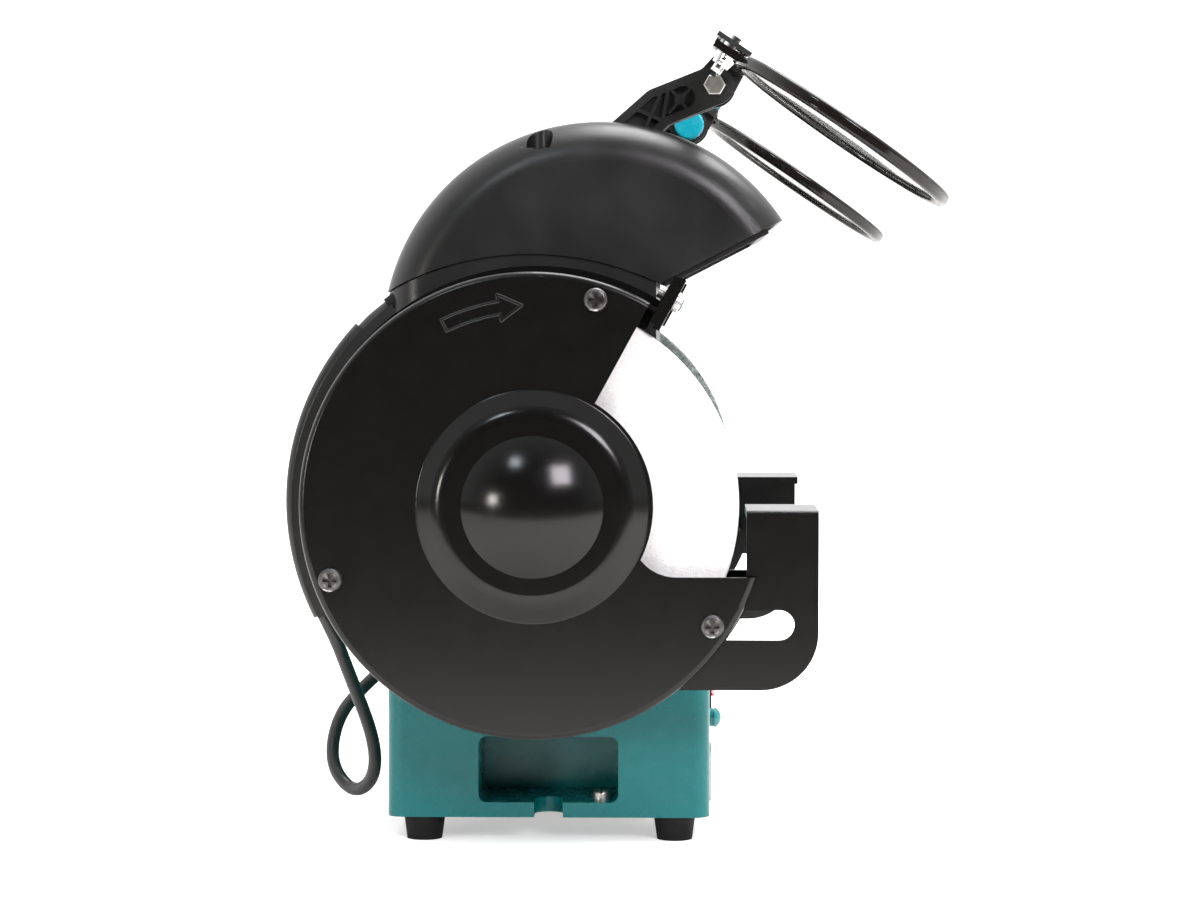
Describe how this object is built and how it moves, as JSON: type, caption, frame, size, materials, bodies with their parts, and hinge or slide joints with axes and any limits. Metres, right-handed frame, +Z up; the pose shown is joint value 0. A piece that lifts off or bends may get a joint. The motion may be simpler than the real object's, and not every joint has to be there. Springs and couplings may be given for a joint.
{
  "type": "bench grinder",
  "caption": "Double-ended bench grinder with wheel guards, sliding tool rests, a lamp hood and round tilting eye shields on a cast base.",
  "frame": {"origin": "on the bench plane, midway between the two open bench bolt slots of the base", "axes": "+X towards the operator, +Y along the shaft towards the operator's right hand, +Z up"},
  "size_m": [0.249, 0.3388, 0.3027],
  "materials": {
    "bright_steel": "ground",
    "zinc": "zinc plated",
    "lamination": "stacked laminations",
    "copper": "enamelled copper wire",
    "teal_paint": "gloss enamel on a die casting",
    "teal_button": "gloss",
    "rubber": "matte",
    "capacitor_can": "smooth",
    "white_abrasive": "fine grit",
    "green_abrasive": "coarse grit",
    "black_paint": "satin",
    "black_plastic": "satin",
    "frosted_window": "frosted",
    "white_plastic": "smooth",
    "lamp_glass": "opal",
    "lead_jacket": "smooth",
    "plate_label": "satin",
    "dark_screw": "dark nickel",
    "red_plastic": "gloss",
    "arm_plastic": "fine texture",
    "chrome": "bright",
    "gloss_frame": "high gloss",
    "clear_lens": "clear",
    "cyan_plastic": "gloss"
  },
  "bodies": {
    "frame": {"ball_bearings": "bright_steel", "base_housing": "teal_paint", "base_plate": "zinc", "base_screws": "zinc", "cable_glands": "rubber", "capacitor": "capacitor_can", "end_bells": "teal_paint", "guard_cover_left": "black_paint", "guard_cover_right": "black_paint", "hood_saddle": "black_plastic", "lamp_holder": "white_plastic", "lamp_hood": "black_plastic", "lamp_lead": "lead_jacket", "lamp_lead_top": "lead_jacket", "lamp_tube": "lamp_glass", "lamp_window": "frosted_window", "lead_conduit": "black_plastic", "motor_bolts": "zinc", "motor_housing": "teal_paint", "nameplate": "plate_label", "pan_screws": "dark_screw", "rest_clamp_nuts": "zinc", "rubber_feet": "rubber", "stator_core": "lamination", "stator_windings": "copper", "switch_body": "black_plastic", "terminal_block": "white_plastic", "wheel_guard_left": "black_paint", "wheel_guard_right": "black_paint", "window_frame": "black_plastic"},
    "rotor": {"shaft": "bright_steel", "rotor_core": "lamination", "bearing_inner_races": "bright_steel", "wheel_flanges": "zinc", "grinding_wheel_left": "white_abrasive", "grinding_wheel_right": "green_abrasive", "wheel_nuts": "zinc"},
    "rocker": {"switch_rocker": "red_plastic"},
    "button": {"reset_button": "teal_button"},
    "rest_left": {"tool_rest_left": "black_paint"},
    "deflector_left": {"spark_deflector_left": "black_paint"},
    "arm_left": {"shield_arm_left": "arm_plastic", "tilt_bolt_left": "zinc"},
    "shield_left": {"shield_tongue_left": "arm_plastic", "shield_bracket_left": "chrome", "shield_frame_left": "gloss_frame", "shield_lens_left": "clear_lens", "shield_clamp_left": "chrome"},
    "knob_left": {"tilt_knob_left": "cyan_plastic"},
    "rest_right": {"tool_rest_right": "black_paint"},
    "deflector_right": {"spark_deflector_right": "black_paint"},
    "arm_right": {"shield_arm_right": "arm_plastic", "tilt_bolt_right": "zinc"},
    "shield_right": {"shield_tongue_right": "arm_plastic", "shield_bracket_right": "chrome", "shield_frame_right": "gloss_frame", "shield_lens_right": "clear_lens", "shield_clamp_right": "chrome"},
    "knob_right": {"tilt_knob_right": "cyan_plastic"}
  },
  "joints": [
    {"name": "wheel_spin", "type": "hinge", "parent": "frame", "child": "rotor", "pos_m": [-0.0035, 0, 0.13], "axis": [0, 1, 0], "continuous": true},
    {"name": "switch_rock", "type": "hinge", "parent": "frame", "child": "rocker", "pos_m": [0.0586, 0, 0.0513], "axis": [0, 1, 0], "range_deg": [-8, 0]},
    {"name": "reset_press", "type": "slide", "parent": "frame", "child": "button", "axis": [-1, 0, 0], "range_m": [0, 0.0015], "stiffness_N_per_m": 300},
    {"name": "rest_slide_left", "type": "slide", "parent": "frame", "child": "rest_left", "axis": [1, 0, 0], "range_m": [-0.0015, 0.012]},
    {"name": "deflector_slide_left", "type": "slide", "parent": "frame", "child": "deflector_left", "axis": [0.4797, 0, 0.8774], "range_m": [-0.002, 0.0055]},
    {"name": "arm_slide_left", "type": "slide", "parent": "frame", "child": "arm_left", "axis": [0.7521, 0, 0.6591], "range_m": [-0.013, 0.012]},
    {"name": "shield_tilt_left", "type": "hinge", "parent": "arm_left", "child": "shield_left", "pos_m": [0.0627, -0.063, 0.2869], "axis": [0, -1, 0], "range_deg": [-14, 60]},
    {"name": "knob_turn_left", "type": "hinge", "parent": "arm_left", "child": "knob_left", "pos_m": [0.0627, -0.063, 0.2869], "axis": [0, 1, 0], "range_deg": [-90, 270]},
    {"name": "rest_slide_right", "type": "slide", "parent": "frame", "child": "rest_right", "axis": [1, 0, 0], "range_m": [-0.0015, 0.012]},
    {"name": "deflector_slide_right", "type": "slide", "parent": "frame", "child": "deflector_right", "axis": [0.4797, 0, 0.8774], "range_m": [-0.002, 0.0055]},
    {"name": "arm_slide_right", "type": "slide", "parent": "frame", "child": "arm_right", "axis": [0.7521, 0, 0.6591], "range_m": [-0.001, 0.024]},
    {"name": "shield_tilt_right", "type": "hinge", "parent": "arm_right", "child": "shield_right", "pos_m": [0.053, 0.063, 0.2784], "axis": [0, -1, 0], "range_deg": [-14, 60]},
    {"name": "knob_turn_right", "type": "hinge", "parent": "arm_right", "child": "knob_right", "pos_m": [0.053, 0.063, 0.2784], "axis": [0, -1, 0], "range_deg": [-90, 270]}
  ]
}
